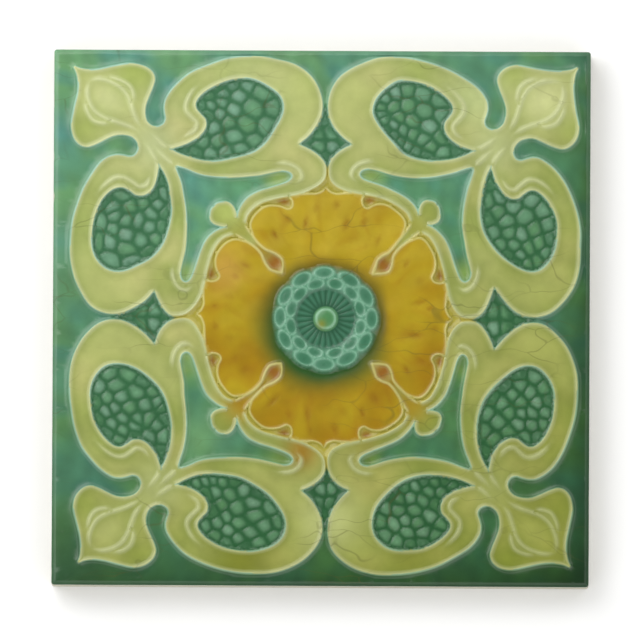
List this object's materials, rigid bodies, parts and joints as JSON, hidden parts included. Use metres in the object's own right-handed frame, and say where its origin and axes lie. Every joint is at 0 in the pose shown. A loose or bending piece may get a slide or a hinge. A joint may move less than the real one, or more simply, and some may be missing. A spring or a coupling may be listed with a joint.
{
  "type": "art nouveau tile",
  "caption": "Square pressed clay wall or fireplace tile with a moulded flower relief under coloured glazes and a keyed back.",
  "frame": {"origin": "middle of the square back face, on the floor the tile lies on", "axes": "+Z out of the glazed face, X and Y along the tile's edges, +Y towards the top of the picture"},
  "size_m": [0.1524, 0.1524, 0.0112],
  "materials": {
    "majolica_glaze": "glossy coloured lead glazes, green ground with yellow-green leaves, amber petals and a teal boss, finely crazed"
  },
  "bodies": {
    "root": {"glazed_tile": "majolica_glaze"}
  },
  "joints": []
}
